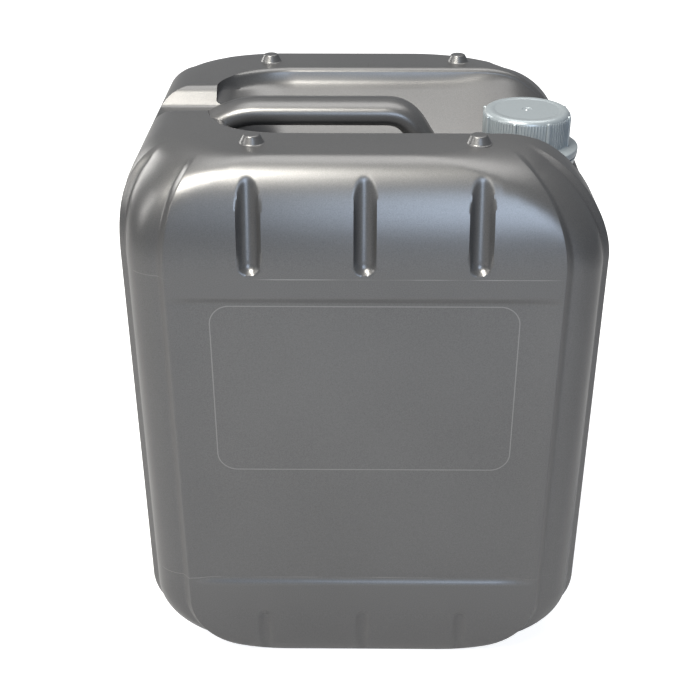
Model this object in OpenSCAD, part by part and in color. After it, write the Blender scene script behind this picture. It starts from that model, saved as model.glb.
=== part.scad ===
// Blow-moulded oil canister with a carry handle moulded into its top, a threaded neck and a screw cap.
// The origin is under the middle of the base. The front label face looks along -Y, the neck is
// towards +X and +Z is up.

/* [Body] */
// Width over the two side panels
body_w = 290; // [270:1:320]
// Depth over the front and back panels
body_d = 268; // [250:1:300]
// Height of the flat top above the floor
body_h = 355; // [335:1:400]
// Thickness of the moulded wall
wall = 2.6; // [2:0.1:3.4]

/* [Shoulder and base rounding] */
// Height of the rounded shoulder
shoulder_h = 64; // [50:1:75]
// How far the shoulder leans in at the left side
shoulder_left = 34; // [30:1:50]
// How far the shoulder leans in at the right side, next to the neck
shoulder_right = 40; // [30:1:50]
// How far the shoulder leans in at the front and back
shoulder_y = 30; // [24:1:40]
// Fullness of the side shoulder, where 2 is an ellipse
shoulder_full = 2.6; // [2:0.1:3]
// Corner radius of the flat top, seen from above
top_r = 70; // [55:1:80]
// Height of the base rounding
base_h = 50; // [35:1:54]
// How far the base rounding leans in at the sides
base_x = 46; // [30:1:60]
// How far the base rounding leans in at the front and back
base_y = 20; // [12:1:30]

/* [Corner pillars] */
// Corner radius of the walls, seen from above
corner_r = 27; // [22:1:34]
// How far the corner pillars stand back from the panels
step = 4.5; // [2.5:0.1:5.5]
// Width of the sloping flank between a panel and a pillar
flank = 6; // [3:0.5:9]
// How far the front flank wanders in towards its tip on the shoulder
flank_in_x = 27; // [18:1:34]
// How far the side flank wanders in towards its tip on the shoulder
flank_in_y = 30; // [16:1:36]
// Share of the shoulder's height at which the pillars start to run out
fade_from = 0.35; // [0.2:0.05:0.5]
// Share of the shoulder's height at which the pillars have run out
fade_to = 0.97; // [0.8:0.01:1]

/* [Label face] */
// Depth of the label recess
label_deep = 1.8; // [1:0.1:2.4]
// Height of the label recess above the floor
label_z = 64; // [60:1:80]
// Distance of the label recess below the flat top
label_drop = 77; // [76:1:100]
// Height of each sloping bank of the recess
bank = 5; // [3:0.5:8]
// Width of the label recess
label_w = 222; // [190:1:226]

/* [Flutes] */
// Spacing of the three flutes on the front and back
flute_pitch = 66; // [58:1:70]
// Radius of a shoulder flute
flute_r = 6.5; // [5:0.5:9]
// Depth of a shoulder flute at its lower end
flute_deep = 4.5; // [3:0.1:5]
// Distance of the shoulder flutes' lower end below the flat top
flute_drop = 63; // [55:1:68]
// Length of a shoulder flute along the shoulder
flute_l = 58; // [40:1:64]
// Lean of the shoulder flutes
flute_lean = 12; // [10:1:18]
// Radius of a foot flute
foot_r = 4.8; // [3.5:0.1:6]
// Depth of a foot flute at its upper end
foot_deep = 2.2; // [1.5:0.1:3]
// Height of the upper end of the foot flutes
foot_z = 41; // [34:1:48]
// Lean of the foot flutes
foot_lean = 15; // [10:1:20]

/* [Stacking bosses] */
// Spacing of the bosses along the handle
boss_x = 132; // [120:1:144]
// Spacing of the bosses across the handle
boss_y = 172; // [164:1:180]
// Diameter of a boss at its foot
boss_d = 15.5; // [12:0.5:18]
// Diameter of a boss at its top
boss_top_d = 8; // [6:0.5:10]
// Height of a boss
boss_h = 5; // [3:0.5:7]
// Clearance of the sockets in the base round the bosses below
boss_gap = 1; // [0.5:0.1:2]

/* [Base] */
// Length of the raised middle of the base, from side to side
base_panel_x = 150; // [120:1:170]
// Width of the raised middle of the base, from front to back
base_panel_y = 120; // [90:1:130]
// Height of the raised middle above the floor
base_lift = 2.4; // [1.5:0.1:4]

/* [Carry recess] */
// Half width of the carry recess
recess_y = 66; // [60:1:72]
// Distance of the carry recess from the left side
recess_in = 47; // [42:1:54]
// Length of the rounded left end
recess_round = 50; // [40:1:60]
// Depth of the wall above the crease
recess_wall = 9; // [6:0.5:12]
// Depth of the floor under the handle
recess_deep = 50; // [44:1:56]
// Depth of the channel at the left of the handle
channel_deep = 11; // [8:0.5:14]
// Half width of the channel floor
channel_y = 13.4; // [10:0.1:16]

/* [Handle] */
// Width of the grip
grip_w = 28; // [22:1:32]
// Height of the grip
grip_h = 17; // [14:0.5:20]
// Wall of the hollow grip
grip_wall = 2.4; // [1.8:0.1:3]
// Distance of the level grip from the left side
grip_in = 65; // [58:1:70]
// Distance of the level grip's right end from the neck's axis
grip_clear = 79; // [74:1:90]
// Slope of the right leg
leg_angle = 58; // [50:1:66]

/* [Neck and cap] */
// Distance of the neck's axis from the right side
neck_in = 40; // [39:0.5:45]
// Diameter of the neck tube
neck_d = 47; // [44:0.5:49]
// Bore of the neck
bore_d = 39; // [34:0.5:41]
// Height of the neck rim below the flat top
rim_drop = 10.4; // [9:0.1:14]
// Diameter over the neck thread
thread_d = 50.4; // [49:0.1:51]
// Pitch of the thread
thread_pitch = 6; // [5:0.5:7]
// Turns of the thread, on the neck and in the cap
thread_turns = 1.5; // [1:0.25:2]
// Diameter of the bead that holds the tamper band
bead_d = 56; // [54:0.5:58]
// Diameter of the cap skirt
cap_d = 56.6; // [55:0.1:60]
// Height of the cap
cap_h = 27.4; // [24:0.1:30]
// Thickness of the cap top
cap_top = 2; // [1.6:0.1:3]
// Radius of the rounded upper edge of the cap
cap_round = 3; // [2:0.5:4]
// Diameter of the flange at the foot of the cap
flange_d = 69; // [64:0.5:72]
// Height of the flange at the foot of the cap
flange_h = 5.6; // [4:0.1:7]
// Number of small knurls round the cap
knurls = 96; // [72:8:120]
// Depth of the small knurls
knurl_deep = 0.5; // [0.3:0.1:0.8]
// Number of large ribs round the cap
ribs = 8; // [6:1:12]
// Width of a large rib
rib_w = 2.2; // [1.6:0.1:3]
// How far a large rib stands out of the knurls
rib_out = 1; // [0.6:0.1:1.4]
// Thickness of the seal disc in the cap
liner_t = 1.2; // [0.8:0.1:1.6]
// Height of the tamper band
band_h = 5.4; // [4:0.1:7]
// Gap between the cap and the tamper band
band_gap = 0.6; // [0.4:0.1:1]
// Clearance between parts that turn or slide on each other
fit = 0.3; // [0.2:0.05:0.5]

/* [Hidden] */
shell_grey = [0.46, 0.46, 0.45];
cap_grey = [0.62, 0.65, 0.67];
liner_white = [0.88, 0.88, 0.85];
$fn = 48;

label_top = body_h - label_drop;
neck_x = body_w / 2 - neck_in;
recess_end = body_w / 2 - recess_in;
grip_left = body_w / 2 - grip_in;
grip_right = neck_x - grip_clear;
base_r = 30;
above = 12;
seat_r = flange_d / 2 + 3;
seat_z = body_h - recess_deep - 1;
rim_z = body_h - rim_drop;
liner_z = rim_z + fit;
cap_top_z = liner_z + liner_t + cap_top;
cap_z = cap_top_z - cap_h;
cap_inner = thread_d / 2 + 1;
soft_edge = 0.8;
band_z = cap_z - band_gap - band_h;
band_taper = 1.6;
thread_half = 1.5;
thread_sink = 0.5;
thread_z = rim_z - 3 * thread_half - thread_turns * thread_pitch;
claw_h = 1.3;
bead_z = band_z + claw_h + 2 * fit;
bead_h = 3.2;

function clamp01(t) = min(1, max(0, t));
function smooth(t) = let (c = clamp01(t)) c * c * (3 - 2 * c);
function inset_share(t, power = 2) = 1 - pow(max(0, 1 - pow(t, power)), 1 / power);

// How far a height is up the shoulder or down the base rounding, from 0 to 1, for a skin that lies
// in by g from the outside
function up_shoulder(z, g) = clamp01((z - (body_h - shoulder_h)) / (shoulder_h - g));
function down_base(z, g) = clamp01((base_h - z) / (base_h - g));

function half_w(z, g, lean) = body_w / 2 - g
    - (lean - g) * inset_share(up_shoulder(z, g), shoulder_full)
    - (base_x - g) * inset_share(down_base(z, g));
function half_d(z, g) = body_d / 2 - g
    - (shoulder_y - g) * inset_share(up_shoulder(z, g))
    - (base_y - g) * inset_share(down_base(z, g));
function plan_r(z, g) = corner_r - g + (top_r - corner_r) * inset_share(up_shoulder(z, g));
function step_at(z, g) = step * (1 - smooth((up_shoulder(z, g) - fade_from) / (fade_to - fade_from)));
function label_at(z) = label_deep * smooth((z - label_z) / bank) * smooth((label_top - z) / bank);

// A place on a rounded rectangle's first quadrant, by the length walked from the middle of its
// front, with the outward direction there: [x, y, nx, ny]
function on_plan(s, cx, cy, r) = let (arc = r * PI / 2)
    s < cx ? [s, cy + r, 0, 1]
    : s > cx + arc ? [cx + r, cy - (s - cx - arc), 1, 0]
    : let (a = (s - cx) / r * 180 / PI) [cx + r * sin(a), cy + r * cos(a), sin(a), cos(a)];

// Lengths at which the walk along the quadrant has points. Each comes with the share of the
// pillar's step and the share of the label recess there. The inside has fewer of them.
function stops(cx, cy, r, fx, fy, fine) = let (
    f = fine ? 3 : 2,
    c = fine ? 6 : 4,
    arc = r * PI / 2,
    s1 = fx < cx ? fx : cx + r * asin(min(1, (fx - cx) / r)) * PI / 180,
    s2 = fy < cy ? cx + arc + cy - fy : cx + r * acos(min(1, (fy - cy) / r)) * PI / 180,
    edge = min(s1 - flank / 2 - 1, label_w / 2),
    last = cx + arc + cy)
    [for (i = [0, 0.3, 0.64, 0.85, 1]) [(edge - 8) * i, 0, 1],
     [edge, 0, 0],
     for (i = [0:f]) [s1 - flank / 2 + flank * i / f, smooth(i / f), 0],
     for (i = [1:c - 1]) [s1 + flank / 2 + (s2 - s1 - flank) * i / c, 1, 0],
     for (i = [0:f]) [s2 - flank / 2 + flank * i / f, 1 - smooth(i / f), 0],
     for (i = [0.15, 0.35, 0.6, 1]) [s2 + flank / 2 + (last - s2 - flank / 2) * i, 0, 0]];

function quadrant(z, g, lean) = let (
    r = plan_r(z, g), cx = half_w(z, g, lean) - r, cy = half_d(z, g) - r,
    up = inset_share(up_shoulder(z, g)),
    down = inset_share(down_base(z, g)),
    fx = body_w / 2 - corner_r - flank_in_x * up - (base_x - g) * down,
    fy = body_d / 2 - corner_r - flank_in_y * up - (base_y - g) * down)
    [for (p = stops(cx, cy, r, fx, fy, g == 0)) let (
        q = on_plan(p[0], cx, cy, r),
        in = p[1] * step_at(z, g) + p[2] * label_at(z))
        [q[0] - q[2] * in, q[1] - q[3] * in]];

// The whole ring: the right quadrant and its mirror image, then the two on the left, each without
// the shared end points
function ring(z, g) = let (
    q = quadrant(z, g, shoulder_right), p = quadrant(z, g, shoulder_left), n = len(q)) [
    for (i = [0:n - 1]) [q[i][0], -q[i][1], z],
    for (i = [n - 2:-1:0]) [q[i][0], q[i][1], z],
    for (i = [1:n - 1]) [-p[i][0], p[i][1], z],
    for (i = [n - 2:-1:1]) [-p[i][0], -p[i][1], z]];

function levels(g) = let (turn = g == 0 ? 10 : 15) [
    for (a = [90:-turn * 1.5:1]) base_h - (base_h - g) * sin(a),
    label_z, label_z + bank, label_top - bank, label_top,
    for (a = [0:turn:90]) body_h - shoulder_h + (shoulder_h - g) * sin(a)];

// Skins a stack of rings that all have the same number of points, with flat ends
module loft(rings) {
    n = len(rings[0]);
    polyhedron(
        points = [for (r = rings) each r],
        faces = [
            [for (j = [0:n - 1]) j],
            for (i = [0:len(rings) - 2], j = [0:n - 1]) let (k = (j + 1) % n)
                each [[i * n + j, (i + 1) * n + j, (i + 1) * n + k],
                      [i * n + j, (i + 1) * n + k, i * n + k]],
            [for (j = [n - 1:-1:0]) (len(rings) - 1) * n + j]]);
}

module skin(g) {
    loft([for (z = levels(g)) ring(z, g)]);
}

// Pressed-in flutes on the shoulder and at the foot, grown by g for the inside of the wall
module flutes(g) {
    for (side = [0, 180], i = [-1:1]) rotate(side) {
        translate([i * flute_pitch, -body_d / 2 - flute_r + flute_deep, body_h - flute_drop + flute_r])
            rotate([-flute_lean, 0, 0])
                round_bar(flute_r + g, flute_l, g == 0 ? 20 : 14);
        translate([i * flute_pitch, -body_d / 2 - foot_r + foot_deep, foot_z - foot_r])
            rotate([180 + foot_lean, 0, 0])
                round_bar(foot_r + g, foot_z, 14);
    }
}

// An upright bar with one round end, at the origin
module round_bar(r, l, n = 20) {
    cylinder(r = r, h = l, $fn = n);
    sphere(r = r, $fn = n);
}

// The carry recess: its half width, its floor and its section at a place along the handle. The lip
// is rounded over lip, and the floor rises to the foot of the wall as a bowl.
lip = 3.6;
bowl = 1.6;
function recess_half(x) = let (
    end = channel_y + channel_deep + lip / 2,
    t = clamp01((recess_round - recess_end - x) / recess_round))
    end + (recess_y - end) * sqrt(max(0, 1 - t * t));
function recess_floor(x) = body_h - channel_deep
    - (recess_deep - channel_deep) * smooth((x + recess_end) / recess_round);
function recess_section(x, g) = let (
    w = recess_half(x), f = recess_floor(x), c = body_h - recess_wall,
    foot = w - 0.7 * lip,
    side = [[w + 1.25 * lip, body_h + above], [w + 1.25 * lip, body_h + 0.5],
            [w + lip / 2, body_h - lip / 4], [w, body_h - lip], [foot, c],
            for (i = [7:-1:1]) let (t = i / 8) [foot * t, f + (c - f) * pow(t, bowl)]])
    [for (p = side) [x, -p[0] - g, p[1] - g],
     [x, 0, f - g],
     for (i = [len(side) - 1:-1:0]) [x, side[i][0] + g, side[i][1] - g]];

module recess(g) {
    end = body_w / 2 + above;
    xs = [for (a = [0:15:90]) -recess_end + recess_round * (1 - cos(a)), neck_x / 3, end];
    first = recess_section(xs[0], g);
    loft([[for (p = first) p - [g, 0, 0]], for (x = xs) recess_section(x, g)]);
    // The channel at the left end
    low = body_h - channel_deep - g;
    bank_y = channel_y + channel_deep + above + g;
    translate([-end, 0, 0]) rotate([90, 0, 90]) linear_extrude(end - recess_end + recess_round / 3)
        polygon([[-channel_y - g, low], [channel_y + g, low],
                 [bank_y, body_h + above], [-bank_y, body_h + above]]);
    // The level seat round the neck
    translate([neck_x, 0, seat_z - g]) cylinder(r = seat_r + g, h = recess_deep + above);
}

// A path with its inner corners rounded: each corner becomes a short curve that starts and ends r
// away from it
function rounded(path, r) = [
    path[0],
    for (i = [1:len(path) - 2]) let (
        p = path[i],
        a = p + (path[i - 1] - p) * r / norm(path[i - 1] - p),
        b = p + (path[i + 1] - p) * r / norm(path[i + 1] - p))
        for (t = [0:0.2:1]) (1 - t) * (1 - t) * a + 2 * t * (1 - t) * p + t * t * b,
    path[len(path) - 1]];

// Sweeps a superellipse of half width a and half height b along a path in the XZ plane
module grip(a, b, path) {
    n = 16;
    square_share = 0.8;
    function along(i) = let (d = path[min(i + 1, len(path) - 1)] - path[max(i - 1, 0)]) d / norm(d);
    function bow(v) = sign(v) * pow(abs(v), square_share);
    loft([for (i = [0:len(path) - 1]) let (d = along(i))
        [for (j = [0:n - 1]) let (
            y = a * bow(cos(j * 360 / n)), h = b * bow(sin(j * 360 / n)))
            [path[i][0] - d[1] * h, y, path[i][1] + d[0] * h]]]);
}

// The grip rises from the channel floor, runs level with the top and goes down into the recess floor
grip_z = body_h - grip_h / 2;
root_z = grip_z - channel_deep - 2;
root_l = 19;
root_rise = 23;
leg_drop = recess_deep + 2 * grip_wall;
grip_bend = 9;
grip_path = rounded([
    [-grip_left - root_rise - root_l, root_z],
    [-grip_left - root_rise, root_z],
    [-grip_left, grip_z],
    [grip_right, grip_z],
    [grip_right + leg_drop / tan(leg_angle), grip_z - leg_drop]], grip_bend);

module at_bosses(z) {
    for (x = [-1, 1], y = [-1, 1]) translate([x * boss_x / 2, y * boss_y / 2, z]) children();
}

// Where a canister stands on another one: a socket for each boss of the one below, and the raised
// middle, so that it stands on the rim of its base
module base_hollows(g) {
    at_bosses(g - 1) cylinder(d1 = boss_d + 2 * (boss_gap + g), d2 = boss_top_d + 2 * (boss_gap + g),
        h = boss_h + boss_gap + 1, $fn = 20);
    translate([0, 0, g - 1]) linear_extrude(base_lift + 1)
        offset(r = base_r, $fn = 32)
            square([base_panel_x - 2 * (base_r - g), base_panel_y - 2 * (base_r - g)], center = true);
}

// The moulded skin with its hollow inside, without the neck. It is drawn to its full width and
// depth as one piece, because every surface of it is moulded in one blow.
module moulding() {
    resize([body_w, body_d, 0]) difference() {
        union() {
            difference() {
                skin(0);
                flutes(0);
                recess(0);
            }
            grip(grip_w / 2, grip_h / 2, grip_path);
        }
        difference() {
            skin(wall);
            flutes(wall);
            recess(wall);
            base_hollows(wall);
        }
        base_hollows(0);
        grip(grip_w / 2 - grip_wall, grip_h / 2 - grip_wall, grip_path);
        translate([neck_x, 0, seat_z - 2 * wall]) cylinder(d = (neck_d + bore_d) / 2, h = 4 * wall);
    }
}

// A thread ridge round the origin, wound upwards from z = 0 and tapered at both ends. It reaches from
// radius r1 to radius r2, and half1 and half2 are half its height there.
module thread(r1, r2, half1, half2, root) {
    per_turn = 24;
    steps = round(thread_turns * per_turn);
    tip = 0.4;
    tip_steps = 4;
    function run(r, i) = root + (r - root) * min(1, tip + min(i, steps - i) / tip_steps);
    loft([for (i = [0:steps]) let (
        a = i * 360 / per_turn, z = i * thread_pitch / per_turn,
        ra = run(r1, i), rb = run(r2, i), side = [cos(a), sin(a)])
        [[ra * side[0], ra * side[1], z + half1], [rb * side[0], rb * side[1], z + half2],
         [rb * side[0], rb * side[1], z - half2], [ra * side[0], ra * side[1], z - half1]]]);
}

// The neck tube with the bead that the tamper band snaps over
module neck() {
    inner = bore_d / 2;
    outer = neck_d / 2;
    bead = bead_d / 2;
    soft = 0.8;
    translate([neck_x, 0, 0]) rotate_extrude() polygon([
        [inner, seat_z - wall], [outer, seat_z - wall],
        [outer, bead_z], [bead - soft, bead_z], [bead, bead_z + soft],
        [bead, bead_z + 2 * soft], [outer, bead_z + bead_h],
        [outer, rim_z - soft], [outer - soft, rim_z], [inner, rim_z]]);
    translate([neck_x, 0, thread_z])
        thread(outer - thread_sink, thread_d / 2, thread_half, thread_half / 2, outer - thread_sink);
}

module canister_body() color(shell_grey) {
    moulding();
    neck();
    at_bosses(body_h) cylinder(d1 = boss_d, d2 = boss_top_d, h = boss_h);
}

// The band stays on the neck when the cap is first opened: its claw sits under the bead
module tamper_band() color(cap_grey) {
    inner = bead_d / 2 + fit;
    claw = neck_d / 2 + 5 * fit;
    foot = flange_d / 2 - band_taper;
    translate([neck_x, 0, band_z]) rotate_extrude() polygon([
        [claw, 0], [foot, 0], [flange_d / 2 - fit, band_h], [inner, band_h],
        [inner, claw_h + fit], [claw, claw_h - fit]]);
}

module cap_liner() color(liner_white) {
    translate([neck_x, 0, liner_z]) cylinder(r = cap_inner - fit, h = liner_t);
}

// Outline of the skirt with its small knurls and, between groups of them, the larger ribs
module knurled(r) {
    turn = 360 / knurls;
    polygon([for (i = [0:knurls - 1]) let (a = i * turn, low = r - knurl_deep)
        each [[low * cos(a - turn / 4), low * sin(a - turn / 4)],
              [r * cos(a + turn / 4), r * sin(a + turn / 4)]]]);
    for (i = [0:ribs - 1]) rotate((i + 0.5) * 360 / ribs)
        translate([r - rib_out, -rib_w / 2]) square([2 * rib_out, rib_w]);
}

module screw_cap() color(cap_grey) {
    core = cap_d / 2 - 1.2 * knurl_deep;
    edge = flange_d / 2;
    translate([neck_x, 0, cap_z]) difference() {
        union() {
            rotate_extrude() polygon([
                [0, 0], [edge - soft_edge, 0], [edge, soft_edge],
                [edge, flange_h - 2 * soft_edge], [edge - 2 * soft_edge, flange_h],
                [core, flange_h], [core, cap_h - cap_round],
                for (a = [15:15:90])
                    [core - cap_round + cap_round * cos(a), cap_h - cap_round + cap_round * sin(a)],
                [0, cap_h]]);
            translate([0, 0, flange_h - soft_edge])
                linear_extrude(cap_h - flange_h + soft_edge - cap_round) knurled(cap_d / 2);
        }
        translate([0, 0, -1]) cylinder(r = cap_inner, h = cap_h - cap_top + 1);
    }
    translate([neck_x, 0, thread_z - thread_pitch / 2])
        thread(neck_d / 2 + 2 * fit, cap_inner + thread_sink, thread_half / 2, thread_half,
            cap_inner + thread_sink);
}

canister_body();
tamper_band();
cap_liner();
screw_cap();
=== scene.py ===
"""A blow-moulded oil canister with a carry handle in its top and a knurled screw cap.

Lengths in the making functions are in millimetres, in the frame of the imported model: X along the
handle towards the neck, the label face towards -Y, Z up. Each finished mesh is scaled to metres.
"""
import math

import bpy
import bmesh
import numpy as np
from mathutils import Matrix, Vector


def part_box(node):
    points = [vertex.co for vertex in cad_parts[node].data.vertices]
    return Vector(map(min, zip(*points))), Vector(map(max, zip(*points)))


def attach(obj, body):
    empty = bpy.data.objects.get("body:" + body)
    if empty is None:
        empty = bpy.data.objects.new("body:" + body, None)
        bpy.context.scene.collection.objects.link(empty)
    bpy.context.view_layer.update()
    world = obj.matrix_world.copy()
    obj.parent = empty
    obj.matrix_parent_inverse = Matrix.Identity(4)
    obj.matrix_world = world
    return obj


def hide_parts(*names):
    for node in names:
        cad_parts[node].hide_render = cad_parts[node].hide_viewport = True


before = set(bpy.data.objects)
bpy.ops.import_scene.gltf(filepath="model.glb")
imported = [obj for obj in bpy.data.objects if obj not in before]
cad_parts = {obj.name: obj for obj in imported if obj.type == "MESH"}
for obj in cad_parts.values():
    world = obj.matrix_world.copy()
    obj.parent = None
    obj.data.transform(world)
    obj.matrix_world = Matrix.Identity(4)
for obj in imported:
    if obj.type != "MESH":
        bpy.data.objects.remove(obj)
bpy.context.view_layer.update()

MM = 0.001

# The moulding, from the frame
LOW, HIGH = (np.array(corner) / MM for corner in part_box("canister_body"))
BODY_W = HIGH[0] - LOW[0]
BODY_D = HIGH[1] - LOW[1]
BOSS_H = 5.0
BODY_H = HIGH[2] - BOSS_H
WALL = 2.6

# Rounding of the shoulder and of the base
SHOULDER_H = 64.0
SHOULDER_LEFT = 34.0
SHOULDER_RIGHT = 56.0
SHOULDER_Y = 30.0
FULL_LEFT = 2.6
FULL_RIGHT = 1.75
TOP_R = 66.0
BASE_H = 50.0
BASE_X = 56.0
BASE_Y = 9.0
BASE_ROUND = 22.0

# Corner pillars and the flanks between them and the panels
CORNER_R = 27.0
STEP = 4.5
FLANK = 6.0
FLANK_IN_LEFT = 27.0
FLANK_IN_RIGHT = 43.0
FLANK_IN_Y = 34.0
FADE_FROM = 0.82
FADE_TO = 1.0

# Label face
LABEL_DEEP = 1.8
LABEL_Z = 64.0
LABEL_TOP = 278.0
BANK = 5.0

# Flutes
FLUTE_X = 66.0
FLUTE_R = 6.5
FLUTE_DEEP = 4.5
FLUTE_Z = 292.0
FLUTE_LEAN = math.radians(12)
FOOT_R = 4.8
FOOT_DEEP = 2.3
FOOT_Z = 41.0
FOOT_LEAN = math.radians(6)
SOFT = 1.1

# Bosses
BOSS_X = 66.0
BOSS_Y = 86.0
BOSS_R = 7.2
BOSS_TOP_R = 5.0

# Carry recess and handle
RECESS_Y = 66.0
RECESS_END = 98.0
RECESS_ROUND = 50.0
RECESS_WALL = 9.0
RECESS_DEEP = 50.0
CHANNEL_DEEP = 11.0
CHANNEL_Y = 13.4
LIP = 3.6
GRIP_W = 28.0
GRIP_H = 17.0
GRIP_LEFT = 80.0
GRIP_RIGHT = 26.0
GRIP_BEND = 12.0
LEG_ANGLE = math.radians(58)

# Lines moulded on the faces: half sizes, heights and half widths
OUTLINE_X = 91.0
OUTLINE_Z = 57.5
OUTLINE_MID = 214.0
OUTLINE_ROUND = 12.0
OUTLINE_FINE = 0.32
WITNESS_Z = 289.6
WITNESS_FINE = 0.28
LOW_LINE_Z = 69.5
LOW_LINE_FINE = 0.2
SEAM_FINE = 0.35

# Neck and cap
CAP_LOW, CAP_HIGH = (np.array(corner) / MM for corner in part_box("screw_cap"))
BAND_LOW, BAND_HIGH = (np.array(corner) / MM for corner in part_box("tamper_band"))
LINER_LOW, LINER_HIGH = (np.array(corner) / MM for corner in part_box("cap_liner"))
NECK_X = (CAP_LOW[0] + CAP_HIGH[0]) / 2
NECK_R = 23.5
BORE_R = 19.5
BORE_SEEN = 12.0
RIM_Z = LINER_LOW[2] - 0.3
SEAT_R = (CAP_HIGH[0] - CAP_LOW[0]) / 2 + 3
SEAT_Z = BODY_H - RECESS_DEEP - 1
BEAD_R = 28.0
CAP_INNER = 26.2
CAP_SKIRT = 27.7
CAP_TOP_R = 3.4
FLANGE_H = 5.6
KNURLS = 88
RIBS = 8
THREAD_PITCH = 6.0
THREAD_TURNS = 1.5
CAP_THREAD_R = 24.3
CAP_THREAD_UP = 7.4
NECK_THREAD_R = 25.2
NECK_THREAD_Z = 331.1

# The photograph's camera, in metres and degrees
CAMERA_PLACE = (-0.0037, -0.7425, 0.5846)
CAMERA_DOWN = 29.26
CAMERA_TURN = 0.45
CAMERA_LENS = 60.65


# Shape functions
def smooth(t):
    t = np.clip(t, 0, 1)
    return t * t * (3 - 2 * t)


def inset_share(t, power=2.0):
    """How far a rounding has come in, as a share, at the share t of its height."""
    return 1 - np.maximum(0, 1 - t ** power) ** (1 / power)


def up_shoulder(z):
    return np.clip((z - (BODY_H - SHOULDER_H)) / SHOULDER_H, 0, 1)


def down_base(z):
    return np.clip((BASE_H - z) / BASE_H, 0, 1)


def half_w(z, right):
    lean, full = (SHOULDER_RIGHT, FULL_RIGHT) if right else (SHOULDER_LEFT, FULL_LEFT)
    return (BODY_W / 2 - lean * inset_share(up_shoulder(z), full)
            - BASE_X * inset_share(down_base(z)))


def half_d(z):
    return (BODY_D / 2 - SHOULDER_Y * inset_share(up_shoulder(z))
            - BASE_Y * inset_share(down_base(z)))


def plan_r(z):
    return (CORNER_R + (TOP_R - CORNER_R) * inset_share(up_shoulder(z))
            + BASE_ROUND * inset_share(down_base(z)))


def link(obj):
    bpy.context.scene.collection.objects.link(obj)
    return obj


def only(obj):
    bpy.ops.object.select_all(action="DESELECT")
    obj.select_set(True)
    bpy.context.view_layer.objects.active = obj
    return obj


def mesh_object(name, points, faces):
    """An object from points in millimetres."""
    mesh = bpy.data.meshes.new(name)
    mesh.from_pydata([tuple(p) for p in np.asarray(points) * MM], [], faces)
    mesh.validate()
    return link(bpy.data.objects.new(name, mesh))


def loft(name, rings):
    """Skins a stack of closed rings with the same number of points, and caps both ends."""
    rings = [np.asarray(r, float) for r in rings]
    n = len(rings[0])
    points = np.concatenate(rings)
    faces = []
    for i in range(len(rings) - 1):
        for j in range(n):
            k = (j + 1) % n
            faces.append((i * n + j, i * n + k, (i + 1) * n + k, (i + 1) * n + j))
    for i, way in ((0, -1), (len(rings) - 1, 1)):
        points = np.concatenate([points, rings[i].mean(0)[None]])
        centre = len(points) - 1
        for j in range(n):
            k = (j + 1) % n
            faces.append((i * n + j, i * n + k, centre)[::way])
    return mesh_object(name, points, faces)


def boolean(target, tool, operation):
    """Applies tool to target, and removes tool."""
    only(target)
    cut = target.modifiers.new("cut", "BOOLEAN")
    cut.operation = operation
    cut.solver = "MANIFOLD"
    cut.object = tool
    bpy.ops.object.modifier_apply(modifier="cut")
    bpy.data.objects.remove(tool)


# The skin of the moulding
def flank_drop(t):
    """A flank from its lip at 0, rounded tightly, to its foot at 1, rounded widely."""
    lip, foot = 0.16, 0.5
    steep = 1 / (1 - lip / 2 - foot / 2)
    lower = 1 - steep * (1 - t) ** 2 / (2 * foot)
    return np.where(t < lip, steep * t * t / (2 * lip),
                    np.where(t < 1 - foot, steep * (t - lip / 2), lower))


def stations(z, right):
    """Walks a quadrant from the middle of its front to the middle of its side: the lengths
    walked, the share of the pillar step at each, and the corner's centre and radius."""
    r = plan_r(z)
    cx, cy = half_w(z, right) - r, half_d(z) - r
    up = inset_share(up_shoulder(z))
    down = inset_share(down_base(z))
    flank_in = FLANK_IN_RIGHT if right else FLANK_IN_LEFT
    fx = BODY_W / 2 - CORNER_R - flank_in * up - BASE_X * down
    fy = BODY_D / 2 - CORNER_R - FLANK_IN_Y * up - BASE_Y * down
    turn = r * math.pi / 2
    s1 = fx if fx < cx else cx + r * math.asin(min(1, (fx - cx) / r))
    s2 = cx + turn + cy - fy if fy < cy else cx + r * math.acos(max(-1, min(1, (fy - cy) / r)))
    last = cx + turn + cy
    front_end = s1 - FLANK / 2
    fixed = np.concatenate([np.arange(0, 11, 1.1), np.arange(11, 54, 3.6), np.arange(54.4, 78.5, 1.1)])
    fixed = fixed * min(1, (front_end - 5) / fixed[-1])
    spread = np.array([.3, .6, .85])
    front = np.concatenate([fixed, fixed[-1] + (front_end - fixed[-1]) * spread])
    t = np.array([0, .06, .12, .18, .25, .35, .47, .6, .7, .8, .9, 1])
    drop = flank_drop(t)
    flank1 = front_end + FLANK * t
    pillar = (s1 + FLANK / 2) + (s2 - s1 - FLANK) * np.linspace(0, 1, 18)[1:-1]
    flank2 = s2 - FLANK / 2 + FLANK * (1 - t[::-1])
    side = s2 + FLANK / 2 + (last - s2 - FLANK / 2) * np.linspace(0, 1, 18)[1:]
    s = np.concatenate([front, flank1, pillar, flank2, side])
    step = np.concatenate([np.zeros(len(front)), drop, np.ones(len(pillar)), drop[::-1],
                           np.zeros(len(side))])
    return s, step, cx, cy, r


def on_plan(s, cx, cy, r):
    """Places and outward directions at lengths s along the quadrant."""
    turn = r * math.pi / 2
    a = np.clip((s - cx) / r, 0, math.pi / 2)
    x = np.where(s < cx, s, cx + r * np.sin(a))
    y = np.where(s > cx + turn, cy - (s - cx - turn), cy + r * np.cos(a))
    return np.stack([x, y], -1), np.stack([np.sin(a), np.cos(a)], -1)


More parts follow.
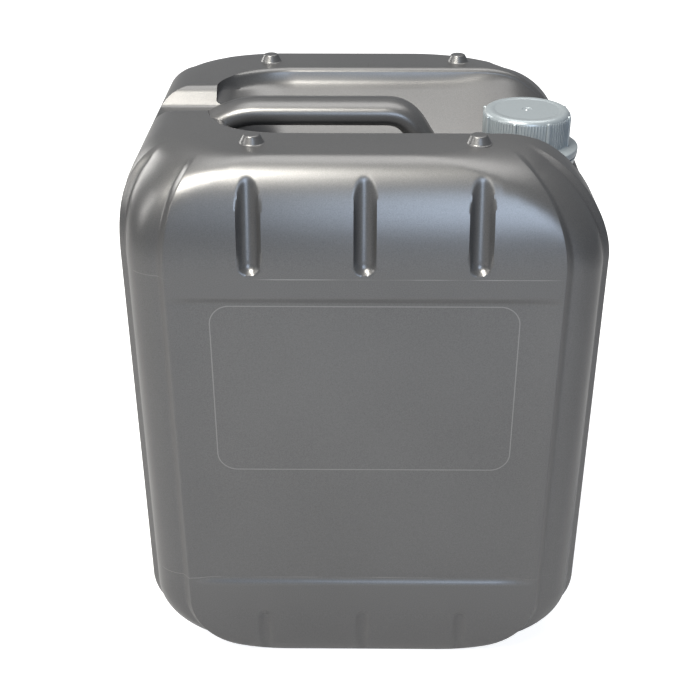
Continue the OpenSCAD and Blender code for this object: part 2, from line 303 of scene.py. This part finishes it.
def flute_depth(x, y, z):
    """How deep the flutes press a point of the front in, measured along Y. A flute is a leaning
    round bar with a round lower end, and its lips are softened."""
    depth = np.zeros_like(x)
    for r, deep, z0, lean, way in ((FLUTE_R, FLUTE_DEEP, FLUTE_Z + FLUTE_R, FLUTE_LEAN, 1),
                                   (FOOT_R, FOOT_DEEP, FOOT_Z - FOOT_R, FOOT_LEAN, -1)):
        y0 = BODY_D / 2 + r - deep
        along = way * (z - z0) * math.cos(lean)
        axis_y = y0 - np.maximum(0, way * (z - z0)) * math.tan(lean)
        below = np.minimum(0, along)
        for centre in (-FLUTE_X, 0, FLUTE_X):
            across = r * r - (x - centre) ** 2 - below ** 2
            inner = np.where(across > 0, axis_y - np.sqrt(np.maximum(across, 0)), 1e3)
            press = y - inner
            near = np.sqrt((x - centre) ** 2 + below ** 2)
            # Smooth maximum of the press and none, so that the lips are round
            gap = np.where(across > 0, press, -(near - r) * 1.5 - 1.0)
            k = SOFT
            soft = np.where(np.abs(gap) < k, (gap + k) ** 2 / (4 * k), np.maximum(gap, 0))
            depth = np.maximum(depth, soft)
    return depth


def skin_ring(z):
    """The plan of the skin at a height, with its pillars, label recess and flutes."""
    quads = []
    fade = 1 - smooth((up_shoulder(z) - FADE_FROM) / (FADE_TO - FADE_FROM))
    label = LABEL_DEEP * smooth((z - LABEL_Z) / BANK) * smooth((LABEL_TOP - z) / BANK)
    for right_side in (True, False):
        s, step, cx, cy, r = stations(z, right_side)
        place, out = on_plan(s, cx, cy, r)
        # The label recess runs out in a slope at its ends
        edge = min(s[step > 0][0] - 4, 111)
        in_label = label * smooth((edge - s) / 7) * (s < edge)
        press = STEP * fade * step + in_label
        place = place - out * press[:, None]
        front = out[:, 1] > 0.5
        place[:, 1] -= flute_depth(place[:, 0], place[:, 1], np.full(len(s), z)) * front
        quads.append(place)
    right, left = quads
    n = len(right)
    ring = [right * (1, -1), right[n - 2::-1], left[1:] * (-1, 1), left[n - 2:0:-1] * (-1, -1)]
    ring = np.concatenate(ring)
    return np.column_stack([ring, np.full(len(ring), z)])


def skin_levels():
    """Heights of the skin's rings, close together where it turns or is pressed in."""
    base = BASE_H * (1 - np.sin(np.radians(np.linspace(90, 30, 14))))
    foot = np.arange(base[-1] + 1.3, 46, 1.5)
    bank1 = np.linspace(47.5, LABEL_Z + BANK + 1, 20)
    panel = np.linspace(LABEL_Z + BANK + 12, LABEL_TOP - BANK - 8, 16)
    bank2 = np.linspace(LABEL_TOP - BANK - 0.8, LABEL_TOP + 0.8, 9)
    flutes = np.arange(LABEL_TOP + 3, 310, 1.0)
    t0 = math.asin((flutes[-1] + 1.0 - (BODY_H - SHOULDER_H)) / SHOULDER_H)
    top = BODY_H - SHOULDER_H + SHOULDER_H * np.sin(np.linspace(t0, math.pi / 2, 46))
    return np.concatenate([base, foot, bank1, panel, bank2, flutes, top])


def make_skin():
    rings = [skin_ring(z) for z in skin_levels()]
    # Both ends are closed by rings that shrink to the middle
    inner = [rings[0] * (k, k, 1) for k in (0.2, 0.4, 0.6, 0.8)]
    outer = [rings[-1] * (k, k, 1) for k in (0.96, 0.9, 0.8, 0.65, 0.5, 0.35, 0.2)]
    return loft("skin", inner + rings + outer)


def skin_top(x, y, right=True):
    """Height of the shoulder over places of one half of the plan."""
    x, y = np.abs(np.asarray(x, float)), np.abs(np.asarray(y, float))
    low = np.full(x.shape, BODY_H - SHOULDER_H)
    high = np.full(x.shape, BODY_H)
    for _ in range(24):
        mid = (low + high) / 2
        r = plan_r(mid)
        qx = np.maximum(x - (half_w(mid, right) - r), 0)
        qy = np.maximum(y - (half_d(mid) - r), 0)
        inside = qx ** 2 + qy ** 2 <= r ** 2
        low = np.where(inside, mid, low)
        high = np.where(inside, high, mid)
    return low


# The carry recess
def recess_section(x):
    """The recess cut across X: a lip, a steep wall and a bowl, opening wider to the right."""
    t = min(1, max(0, (RECESS_ROUND - RECESS_END - x) / RECESS_ROUND))
    end = CHANNEL_Y + CHANNEL_DEEP + LIP / 2
    w = end + (RECESS_Y - end) * math.sqrt(max(0, 1 - t * t))
    sunk = float(smooth((x + RECESS_END) / RECESS_ROUND))
    floor = BODY_H - CHANNEL_DEEP - (RECESS_DEEP - CHANNEL_DEEP) * sunk
    top = float(skin_top(max(x, 0), w + LIP)) if x > 0 else BODY_H
    top = max(top, floor + RECESS_WALL + 6)
    wall = RECESS_WALL * (1 - 0.5 * float(smooth((x - 40) / 80)))
    foot = w - 0.7 * LIP
    crease = top - wall
    rim = [(w + 1.25 * LIP + 4, BODY_H + 14), (w + 1.25 * LIP, top + 0.4)]
    # The lip is a quarter of an ellipse from the top plane to the wall
    for a in np.radians(np.linspace(80, 8, 9)):
        rim.append((w + 1.25 * LIP * (1 - math.cos(a)), top - LIP * (1 - math.sin(a))))
    rim.append((foot + 0.35 * (w - foot), crease + 0.35 * (wall - LIP)))
    bowl = []
    for t2 in np.linspace(0.98, 0.0, 18):
        bowl.append((foot * t2, floor + (crease - floor) * t2 ** 1.25))
    # The crease at the foot of the wall is rounded too
    side = rim + bowl
    left = [(x, -a, b) for a, b in side]
    right = [(x, a, b) for a, b in side[-2::-1]]
    return np.array(left + right)


def make_recess():
    xs = [-RECESS_END + RECESS_ROUND * (1 - math.cos(a))
          for a in np.radians(np.linspace(0, 90, 26))]
    xs += list(np.linspace(-36, 60, 6)) + list(np.linspace(68, BODY_W / 2 + 14, 24))
    return loft("recess", [recess_section(x) for x in xs])


def make_channel():
    """The groove at the left of the handle, with a rounded floor corner and lip."""
    def section(x):
        top = float(skin_top(x, 0, False)) if x < -100 else BODY_H
        top = max(top, BODY_H - CHANNEL_DEEP - 3)
        low = BODY_H - CHANNEL_DEEP
        flat = CHANNEL_Y - 2
        pts = [(0.0, low), (flat, low), (flat + 2.0, low + 0.35), (flat + 3.4, low + 1.2)]
        bank = CHANNEL_Y + CHANNEL_DEEP
        pts += [(bank - 2.6, BODY_H - 3.0), (bank - 0.6, BODY_H - 1.25), (bank + 1.6, BODY_H - 0.3),
                (bank + 4, BODY_H + 0.3), (bank + 9, BODY_H + 14)]
        left = [(x, -a, b) for a, b in reversed(pts)]
        right = [(x, a, b) for a, b in pts[1:]]
        return np.array(left + right)
    xs = [-BODY_W / 2 - 14, -RECESS_END + 16]
    return loft("channel", [section(x) for x in xs])


# The handle
def bend(path, radius, count=9):
    """A path with each inner corner replaced by a curve that starts and ends radius away."""
    path = [np.array(p, float) for p in path]
    out = [path[0]]
    for i in range(1, len(path) - 1):
        a = path[i] + (path[i - 1] - path[i]) * radius / np.linalg.norm(path[i - 1] - path[i])
        b = path[i] + (path[i + 1] - path[i]) * radius / np.linalg.norm(path[i + 1] - path[i])
        for t in np.linspace(0, 1, count):
            out.append((1 - t) ** 2 * a + 2 * t * (1 - t) * path[i] + t * t * b)
    out.append(path[-1])
    return np.array(out)


def grip_path():
    grip_z = BODY_H - GRIP_H / 2
    root_z = grip_z - CHANNEL_DEEP - 0.3
    drop = RECESS_DEEP + 2
    return bend([(-GRIP_LEFT - 40, root_z), (-GRIP_LEFT - 23, root_z), (-GRIP_LEFT, grip_z),
                 (GRIP_RIGHT, grip_z), (GRIP_RIGHT + drop / math.tan(LEG_ANGLE), grip_z - drop)],
                GRIP_BEND)


def make_grip():
    """Sweeps a soft-cornered oval along the handle's path. It flares at the foot of the leg."""
    path = grip_path()
    # Even stations
    seg = np.concatenate([[0], np.cumsum(np.linalg.norm(np.diff(path, axis=0), axis=1))])
    s = np.linspace(0, seg[-1], 90)
    path = np.stack([np.interp(s, seg, path[:, 0]), np.interp(s, seg, path[:, 1])], -1)
    tangent = np.gradient(path, axis=0)
    tangent /= np.linalg.norm(tangent, axis=1)[:, None]
    angle = np.linspace(0, 2 * math.pi, 41)[:-1]
    y = GRIP_W / 2 * np.sign(np.cos(angle)) * np.abs(np.cos(angle)) ** 0.9
    h = GRIP_H / 2 * np.sign(np.sin(angle)) * np.abs(np.sin(angle)) ** 0.85
    rings = []
    for p, d, at in zip(path, tangent, s):
        flare = 1 + 0.35 * math.exp(-max(0.0, seg[-1] - 6 - at) / 5)
        x = p[0] - d[1] * h * flare
        z = p[1] + d[0] * h * flare
        rings.append(np.stack([x, y * flare, z], -1))
    return loft("grip", rings)


# Bosses, seat and neck
def spun(name, profile, steps, centre):
    """Spins a profile of (radius, height) points about a vertical axis through centre."""
    bm = bmesh.new()
    cx, cy, cz = centre
    verts = [bm.verts.new(((cx + r) * MM, cy * MM, (cz + z) * MM)) for r, z in profile]
    for a, b in zip(verts, verts[1:]):
        bm.edges.new((a, b))
    mesh = bpy.data.meshes.new(name)
    bm.to_mesh(mesh)
    bm.free()
    obj = only(link(bpy.data.objects.new(name, mesh)))
    bpy.ops.object.mode_set(mode="EDIT")
    bpy.ops.mesh.select_all(action="SELECT")
    bpy.ops.mesh.spin(steps=steps, angle=2 * math.pi, center=(cx * MM, cy * MM, 0), axis=(0, 0, 1))
    bpy.ops.mesh.select_all(action="SELECT")
    bpy.ops.mesh.remove_doubles(threshold=1e-6)
    bpy.ops.mesh.normals_make_consistent(inside=False)
    bpy.ops.object.mode_set(mode="OBJECT")
    return obj


def arc(cx, cz, r, start, end, count):
    """Points of (radius, height) on an arc, angles in degrees from the outward direction."""
    a = np.radians(np.linspace(start, end, count))
    return [(cx + r * math.cos(t), cz + r * math.sin(t)) for t in a]


def make_boss(x, y):
    profile = [(0, -2), (BOSS_R + 0.9, -2), (BOSS_R + 0.9, -0.02)]
    profile += [(BOSS_R + 0.4, 0.08), (BOSS_R, 0.3), (BOSS_R - 0.25, 0.7)]
    profile += arc(BOSS_TOP_R - 1.0, BOSS_H - 1.3, 1.3, 25, 90, 6) + [(0, BOSS_H)]
    return spun("boss", profile, 40, (x, y, BODY_H))


def make_neck():
    bead = BAND_LOW[2] + 1.9
    foot = SEAT_Z - 3 * WALL
    profile = [(BORE_R, foot), (NECK_R + 5, foot), (NECK_R + 5, SEAT_Z - 0.1)]
    profile += [(NECK_R + 3, SEAT_Z + 0.3), (NECK_R + 1.2, SEAT_Z + 1.2), (NECK_R, SEAT_Z + 3)]
    profile += [(NECK_R, bead), (BEAD_R - 0.8, bead), (BEAD_R, bead + 0.8), (BEAD_R, bead + 1.6)]
    profile += [(NECK_R, bead + 3.2), (NECK_R, RIM_Z - 0.8), (NECK_R - 0.8, RIM_Z)]
    profile += [(BORE_R + 0.5, RIM_Z), (BORE_R, RIM_Z - 0.5)]
    profile.append(profile[0])
    return spun("neck", profile, 96, (NECK_X, 0, 0))


def thread(name, r_root, r_crest, z0):
    """A thread ridge round the neck's axis with tapered ends, wound upwards."""
    half_root, half_crest = 1.5, 0.6
    steps = int(THREAD_TURNS * 72)
    rings = []
    for i in range(steps + 1):
        a = i * math.radians(5)
        z = z0 + THREAD_PITCH * i / 72
        grow = min(1, i / 8, (steps - i) / 8)
        crest = r_root + (r_crest - r_root) * max(0.15, math.sin(grow * math.pi / 2))
        ring = []
        for r, h in ((r_root, half_root), (crest, half_crest),
                     (crest, -half_crest), (r_root, -half_root)):
            ring.append((NECK_X + r * math.cos(a), r * math.sin(a), z + h))
        rings.append(ring)
    return loft(name, rings)


def make_body():
    body = make_skin()
    boolean(body, make_recess(), "DIFFERENCE")
    boolean(body, make_channel(), "DIFFERENCE")
    seat = spun("seat", [(0, SEAT_Z), (SEAT_R - 3, SEAT_Z)]
                + arc(SEAT_R - 3, SEAT_Z + 3, 3, -90, 0, 6)[1:]
                + [(SEAT_R, BODY_H + 20), (0, BODY_H + 20)], 96, (NECK_X, 0, 0))
    boolean(body, seat, "DIFFERENCE")
    boolean(body, make_grip(), "UNION")
    for x in (-BOSS_X, BOSS_X):
        for y in (-BOSS_Y, BOSS_Y):
            boolean(body, make_boss(x, y), "UNION")
    bore = spun("bore", [(0, SEAT_Z - BORE_SEEN), (BORE_R, SEAT_Z - BORE_SEEN),
                         (BORE_R, SEAT_Z + 4), (0, SEAT_Z + 4)], 96, (NECK_X, 0, 0))
    boolean(body, bore, "DIFFERENCE")
    boolean(body, make_neck(), "UNION")
    ridge = thread("neck_thread", NECK_R - 0.5, NECK_THREAD_R, NECK_THREAD_Z)
    boolean(body, ridge, "UNION")
    body.name = "moulded_canister"
    body.data.name = body.name
    only(body)
    bpy.ops.object.shade_smooth_by_angle(angle=math.radians(38))
    weigh = body.modifiers.new("weigh", "WEIGHTED_NORMAL")
    weigh.keep_sharp = True
    bpy.ops.object.modifier_apply(modifier="weigh")
    return body


# The cap

def rib_bar(name, centre_r, half_width, z0, z1, segments):
    """One upright rib at the angle 0, rounded over its top: a cube, bevelled."""
    place = ((NECK_X + centre_r) * MM, 0, (z0 + z1) / 2 * MM)
    bpy.ops.object.select_all(action="DESELECT")
    bpy.ops.mesh.primitive_cube_add(size=1, location=place)
    bar = bpy.context.object
    bar.name = name
    bar.scale = (2 * half_width * MM, 2 * half_width * MM, (z1 - z0) * MM)
    bpy.ops.object.transform_apply(location=True, rotation=True, scale=True)
    bevel = bar.modifiers.new("round", "BEVEL")
    bevel.width = half_width * 0.75 * MM
    bevel.segments = segments
    bevel.limit_method = "ANGLE"
    bpy.ops.object.modifier_apply(modifier="round")
    return bar


def turned_copies(bar, angles):
    """Copies of a bar turned about the cap's axis, each with its own mesh."""
    out = []
    for a in angles:
        copy = link(bpy.data.objects.new(bar.name, bar.data.copy()))
        c, s = math.cos(a), math.sin(a)
        co = np.array([v.co for v in copy.data.vertices])
        x, y = co[:, 0] - NECK_X * MM, co[:, 1].copy()
        co[:, 0] = NECK_X * MM + c * x - s * y
        co[:, 1] = s * x + c * y
        copy.data.vertices.foreach_set("co", co.astype(np.float32).ravel())
        out.append(copy)
    bpy.data.objects.remove(bar)
    return out


def join(parts, name):
    bpy.ops.object.select_all(action="DESELECT")
    for p in parts:
        p.select_set(True)
    bpy.context.view_layer.objects.active = parts[0]
    bpy.ops.object.join()
    parts[0].name = name
    parts[0].data.name = name
    return parts[0]


def make_cap():
    z0, z1 = CAP_LOW[2], CAP_HIGH[2]
    edge = (CAP_HIGH[0] - CAP_LOW[0]) / 2
    flange = z0 + FLANGE_H
    seat = LINER_HIGH[2]
    inside = [(0, seat), (CAP_INNER - 0.8, seat), (CAP_INNER, seat - 0.8), (CAP_INNER, z0)]
    outer = [(edge - 0.7, z0)] + arc(edge - 0.7, z0 + 0.7, 0.7, -90, 0, 4)[1:]
    outer += arc(edge - 1.1, flange - 2.2, 1.1, 0, 70, 5)
    outer += [(CAP_SKIRT + 2.6, flange - 0.6), (CAP_SKIRT + 1.0, flange + 0.2)]
    outer += [(CAP_SKIRT + 0.2, flange + 1.4), (CAP_SKIRT, flange + 3), (CAP_SKIRT, z1 - CAP_TOP_R)]
    outer += arc(CAP_SKIRT - CAP_TOP_R, z1 - CAP_TOP_R, CAP_TOP_R, 0, 90, 10)[1:]
    # The top is sunk a little inside its rim, with the ring of the gate mark in the middle
    outer += [(21.6, z1), (21.2, z1 - 0.25), (20.6, z1 - 0.3), (20.2, z1 - 0.3), (3.4, z1 - 0.3)]
    outer += [(3.0, z1 - 0.7), (1.6, z1 - 0.7), (1.3, z1 - 0.35), (0, z1 - 0.35)]
    parts = [spun("cap_shell", inside + outer, 192, (NECK_X, 0, 0))]
    big = rib_bar("rib", CAP_SKIRT + 0.15, 1.35, flange - 1.0, z1 - 1.6, 4)
    step = 2 * math.pi / RIBS
    parts += turned_copies(big, [step * (i + 0.5) for i in range(RIBS)])
    small = rib_bar("knurl", CAP_SKIRT + 0.02, 0.42, flange + 0.2, z1 - 2.6, 2)
    per = KNURLS // RIBS
    angles = []
    for i in range(RIBS):
        for k in range(1, per):
            angles.append(step * (i + 0.5) + step * k / per)
    parts += turned_copies(small, angles)
    parts.append(thread("cap_thread", CAP_INNER + 0.3, CAP_THREAD_R, z0 + CAP_THREAD_UP))
    cap = only(join(parts, "cap_with_ribs"))
    bpy.ops.object.shade_smooth_by_angle(angle=math.radians(40))
    return cap


def make_band():
    z0, z1 = BAND_LOW[2], BAND_HIGH[2]
    edge = (BAND_HIGH[0] - BAND_LOW[0]) / 2
    inner = 28.3
    profile = [(25.0, z0), (edge - 1.9, z0)] + arc(edge - 1.9, z0 + 0.6, 0.6, -90, 0, 4)[1:]
    profile += [(edge - 0.2, z1 - 1.0)] + arc(edge - 0.5, z1 - 0.5, 0.5, 0, 90, 4)
    profile += [(inner, z1), (inner, z0 + 1.6), (25.0, z0 + 1.0), (25.0, z0)]
    band = spun("tamper_ring", profile, 160, (NECK_X, 0, 0))
    only(band)
    bpy.ops.object.shade_smooth_by_angle(angle=math.radians(40))
    return band


def make_liner():
    z0, z1 = LINER_LOW[2], LINER_HIGH[2]
    r = (LINER_HIGH[0] - LINER_LOW[0]) / 2
    profile = [(0, z0), (r - 0.3, z0), (r, z0 + 0.3), (r, z1 - 0.3), (r - 0.3, z1), (0, z1)]
    liner = spun("seal_disc", profile, 96, (NECK_X, 0, 0))
    only(liner)
    bpy.ops.object.shade_smooth_by_angle(angle=math.radians(40))
    return liner


# Materials
def new_material(name):
    mat = bpy.data.materials.new(name)
    mat.use_nodes = True
    nodes, links = mat.node_tree.nodes, mat.node_tree.links
    shader = nodes["Principled BSDF"]
    coords = nodes.new("ShaderNodeTexCoord")
    return mat, nodes, links, shader, coords


def math_node(nodes, links, operation, a, b=None, c=None, clamp=False):
    node = nodes.new("ShaderNodeMath")
    node.operation = operation
    node.use_clamp = clamp
    for i, v in enumerate((a, b, c)):
        if v is None:
            continue
        if isinstance(v, (int, float)):
            node.inputs[i].default_value = v
        else:
            links.new(v, node.inputs[i])
    return node.outputs[0]


def noise(nodes, links, place, scale, detail=2.0, rough=0.5):
    node = nodes.new("ShaderNodeTexNoise")
    node.inputs["Scale"].default_value = scale
    node.inputs["Detail"].default_value = detail
    node.inputs["Roughness"].default_value = rough
    links.new(place, node.inputs["Vector"])
    return node.outputs["Fac"]


def ramp(nodes, links, share, low, high, start=0.3, end=0.7):
    """The colour between low and high at a share, all low up to start and all high from end."""
    node = nodes.new("ShaderNodeValToRGB")
    for element, at, colour in zip(node.color_ramp.elements, (start, end), (low, high)):
        element.position = at
        element.color = (*colour, 1)
    links.new(share, node.inputs["Fac"])
    return node.outputs["Color"]


def mixed(nodes, links, share, colour, other):
    """A colour with a share of another, fixed one."""
    node = nodes.new("ShaderNodeMix")
    node.data_type = "RGBA"
    links.new(share, node.inputs["Factor"])
    links.new(colour, node.inputs["A"])
    node.inputs["B"].default_value = (*other, 1)
    return node.outputs["Result"]


def moulded_lines(nodes, links, place):
    """Shares of the fine lines: raised ones, which are the outline for the label and two
    witness lines that break off in places and carry a painted highlight, and the parting line."""
    def calc(*terms):
        return math_node(nodes, links, *terms)

    def line_at(z, height, half_width):
        away = calc("ABSOLUTE", calc("SUBTRACT", z, height * MM))
        return calc("LESS_THAN", away, half_width * MM)

    parts = nodes.new("ShaderNodeSeparateXYZ")
    links.new(place, parts.inputs["Vector"])
    x, y, z = parts.outputs
    face = calc("GREATER_THAN", calc("ABSOLUTE", y), BODY_D / 2 * MM - 0.012)
    turn = OUTLINE_ROUND * MM
    side = calc("MAXIMUM", calc("SUBTRACT", calc("ABSOLUTE", x), OUTLINE_X * MM - turn), 0.0)
    middle = calc("ABSOLUTE", calc("SUBTRACT", z, OUTLINE_MID * MM))
    rise = calc("MAXIMUM", calc("SUBTRACT", middle, OUTLINE_Z * MM - turn), 0.0)
    squares = calc("ADD", calc("MULTIPLY", side, side), calc("MULTIPLY", rise, rise))
    away = calc("ABSOLUTE", calc("SUBTRACT", calc("SQRT", squares), turn))
    label = calc("MULTIPLY", calc("LESS_THAN", away, OUTLINE_FINE * MM), face)
    witness = line_at(z, WITNESS_Z, WITNESS_FINE)
    low = line_at(z, LOW_LINE_Z, LOW_LINE_FINE)
    seam = calc("LESS_THAN", calc("ABSOLUTE", y), SEAM_FINE * MM)
    patches = noise(nodes, links, place, 22)
    broken = math_node(nodes, links, "MULTIPLY_ADD", patches, 4.0, -1.7, clamp=True)
    faint = calc("MULTIPLY", calc("MULTIPLY", calc("MAXIMUM", witness, low), face),
                 calc("MULTIPLY", broken, 0.7))
    return calc("MAXIMUM", calc("MULTIPLY", label, 0.5), faint), seam


def silver_plastic():
    """Satin silver-grey plastic: a fine metal flake speckle and grain, and the moulded lines, raised
    by a bump and lightened with a painted highlight.
    """
    mat, nodes, links, shader, coords = new_material("silver_plastic")
    place = coords.outputs["Object"]
    fine = noise(nodes, links, place, 1500, 3, 0.6)
    cloud = noise(nodes, links, place, 9, 4, 0.5)
    speckle = math_node(nodes, links, "ADD", math_node(nodes, links, "MULTIPLY", fine, 0.75),
                        math_node(nodes, links, "MULTIPLY", cloud, 0.25))
    colour = ramp(nodes, links, speckle, (0.096, 0.096, 0.098), (0.136, 0.136, 0.138))
    lines_and_painted_highlight, seam = moulded_lines(nodes, links, place)
    # Painted highlight: the raised lines are mixed towards a pale grey, as if lit along their ridges
    colour = mixed(nodes, links, math_node(nodes, links, "MULTIPLY", lines_and_painted_highlight, 0.5), colour,
                   (0.42, 0.42, 0.41))
    colour = mixed(nodes, links, math_node(nodes, links, "MULTIPLY", seam, 0.75), colour,
                   (0.03, 0.03, 0.03))
    links.new(colour, shader.inputs["Base Color"])
    shader.inputs["Metallic"].default_value = 0.75
    rough = math_node(nodes, links, "MULTIPLY_ADD", cloud, 0.08, 0.30)
    links.new(rough, shader.inputs["Roughness"])
    bump = nodes.new("ShaderNodeBump")
    bump.inputs["Strength"].default_value = 0.25
    bump.inputs["Distance"].default_value = 0.00006
    height = math_node(nodes, links, "MULTIPLY_ADD", lines_and_painted_highlight, 1.5, fine)
    links.new(height, bump.inputs["Height"])
    links.new(bump.outputs["Normal"], shader.inputs["Normal"])
    return mat


def cap_plastic():
    mat, nodes, links, shader, coords = new_material("cap_plastic")
    grain = noise(nodes, links, coords.outputs["Object"], 500, 1)
    colour = ramp(nodes, links, grain, (0.225, 0.252, 0.270), (0.240, 0.268, 0.286))
    links.new(colour, shader.inputs["Base Color"])
    shader.inputs["Metallic"].default_value = 0.35
    rough = math_node(nodes, links, "MULTIPLY_ADD", grain, 0.03, 0.3)
    links.new(rough, shader.inputs["Roughness"])
    return mat


def liner_foam():
    mat, nodes, links, shader, coords = new_material("liner_foam")
    grain = noise(nodes, links, coords.outputs["Object"], 1200)
    colour = ramp(nodes, links, grain, (0.68, 0.68, 0.64), (0.8, 0.8, 0.76), 0.0, 1.0)
    links.new(colour, shader.inputs["Base Color"])
    shader.inputs["Roughness"].default_value = 0.7
    return mat


def dress(piece, node, body, material):
    piece.data.materials.clear()
    piece.data.materials.append(material)
    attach(piece, body)
    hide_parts(node)


# Stage
FLOOR_GLOW = 0.85
LAMP_AIM = Vector((0, 0, 0.2))


def white_seen(tree, shader_out, glow_share):
    """Adds a white glow to a shader, for rays from the camera alone."""
    nodes, links = tree.nodes, tree.links
    path = nodes.new("ShaderNodeLightPath")
    glow = nodes.new("ShaderNodeEmission")
    strength = math_node(nodes, links, "MULTIPLY", path.outputs["Is Camera Ray"], glow_share)
    links.new(strength, glow.inputs["Strength"])
    both = nodes.new("ShaderNodeAddShader")
    links.new(shader_out, both.inputs[0])
    links.new(glow.outputs["Emission"], both.inputs[1])
    return both.outputs[0]


def make_stage():
    bpy.ops.object.select_all(action="DESELECT")
    bpy.ops.mesh.primitive_plane_add(size=30, location=(0, 0, -0.0006))
    floor = bpy.context.object
    floor.name = "floor"
    mat = bpy.data.materials.new("floor_white")
    mat.use_nodes = True
    shader = mat.node_tree.nodes["Principled BSDF"]
    shader.inputs["Base Color"].default_value = (0.45, 0.45, 0.46, 1)
    shader.inputs["Roughness"].default_value = 0.9
    out = mat.node_tree.nodes["Material Output"]
    surface = white_seen(mat.node_tree, shader.outputs["BSDF"], FLOOR_GLOW)
    mat.node_tree.links.new(surface, out.inputs["Surface"])
    floor.data.materials.append(mat)
    world = bpy.data.worlds.new("studio")
    bpy.context.scene.world = world
    world.use_nodes = True
    nodes, links = world.node_tree.nodes, world.node_tree.links
    back = nodes["Background"]
    back.inputs["Color"].default_value = (0.82, 0.86, 0.92, 1)
    back.inputs["Strength"].default_value = 0.34
    seen = nodes.new("ShaderNodeBackground")
    seen.inputs["Color"].default_value = (1, 1, 1, 1)
    path = nodes.new("ShaderNodeLightPath")
    mix = nodes.new("ShaderNodeMixShader")
    links.new(path.outputs["Is Camera Ray"], mix.inputs["Fac"])
    links.new(back.outputs[0], mix.inputs[1])
    links.new(seen.outputs[0], mix.inputs[2])
    links.new(mix.outputs[0], nodes["World Output"].inputs["Surface"])


def lamp(name, place, size, power, colour):
    """A soft rectangular lamp at a place in metres, aimed at the middle of the canister."""
    light = bpy.data.lights.new(name, "AREA")
    light.shape = "RECTANGLE"
    light.size, light.size_y = size
    light.energy = power
    light.color = colour
    obj = link(bpy.data.objects.new(name, light))
    obj.location = place
    obj.rotation_euler = (LAMP_AIM - Vector(place)).to_track_quat("-Z", "Y").to_euler()


def make_lights():
    lamp("key_left", (-0.66, -0.9, 1.95), (0.85, 0.75), 84, (1.0, 0.96, 0.87))
    lamp("side_left", (-1.5, -0.35, 0.95), (0.35, 0.7), 5, (1.0, 0.97, 0.92))
    lamp("rim_left", (-1.35, 1.15, 0.75), (0.5, 1.0), 12, (1.0, 0.98, 0.94))
    lamp("top_soft", (0.1, 0.5, 1.9), (1.6, 1.2), 23, (1.0, 0.98, 0.94))
    lamp("front_window", (0.35, -1.9, 0.9), (0.7, 1.0), 18, (0.66, 0.80, 1.0))


def make_camera():
    cam = bpy.data.cameras.new("camera")
    cam.sensor_width = 36
    cam.lens = CAMERA_LENS
    cam.clip_start = 0.01
    obj = link(bpy.data.objects.new("camera", cam))
    obj.location = CAMERA_PLACE
    obj.rotation_euler = (math.radians(90 - CAMERA_DOWN), 0, math.radians(CAMERA_TURN))
    bpy.context.scene.camera = obj


make_camera()
silver, cap_grey, foam = silver_plastic(), cap_plastic(), liner_foam()
dress(make_body(), "canister_body", "canister", silver)
dress(make_band(), "tamper_band", "canister", cap_grey)
dress(make_liner(), "cap_liner", "liner", foam)
dress(make_cap(), "screw_cap", "cap", cap_grey)
make_stage()
make_lights()

bpy.context.scene.view_settings.view_transform = "Standard"
